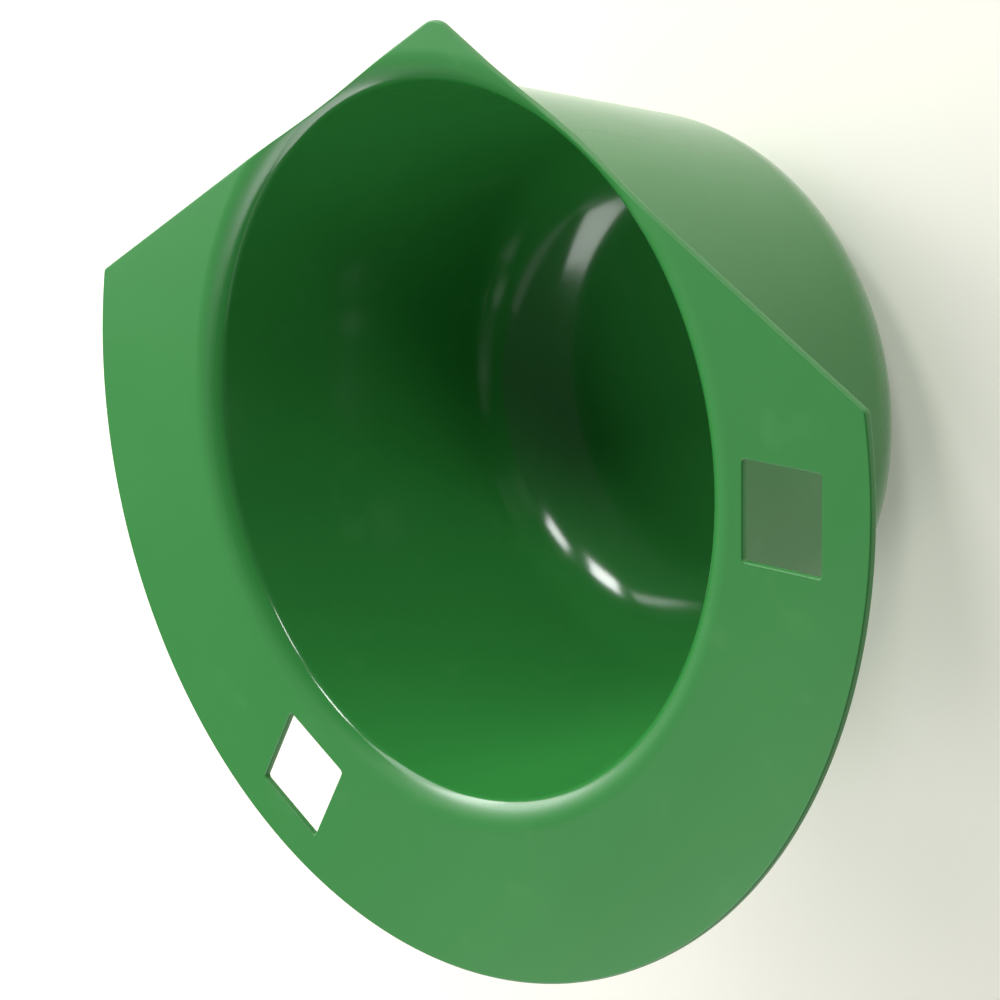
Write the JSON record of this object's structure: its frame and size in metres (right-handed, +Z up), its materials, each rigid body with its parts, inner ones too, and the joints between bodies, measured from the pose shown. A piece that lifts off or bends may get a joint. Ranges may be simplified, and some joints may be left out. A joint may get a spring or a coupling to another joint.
{
  "type": "feed bucket",
  "caption": "Round tapered feed bucket with a rounded base and a wide flat flange that has a corner between straight edges, a round front and square holes.",
  "frame": {"origin": "on the bowl's axis at the underside of the base", "axes": "+Z up the bowl's axis, from the base to the flange; +Y from the axis towards the corner of the flange; +X along the wide way of the flange"},
  "size_m": [0.4958, 0.4279, 0.178],
  "materials": {
    "moulded_plastic": "glossy green moulded plastic"
  },
  "bodies": {
    "root": {"base_floor": "moulded_plastic", "base_cove": "moulded_plastic", "bowl_wall": "moulded_plastic", "throat_ring": "moulded_plastic", "corner_plate": "moulded_plastic", "right_flange": "moulded_plastic", "left_flange": "moulded_plastic", "front_flange": "moulded_plastic"}
  },
  "joints": []
}
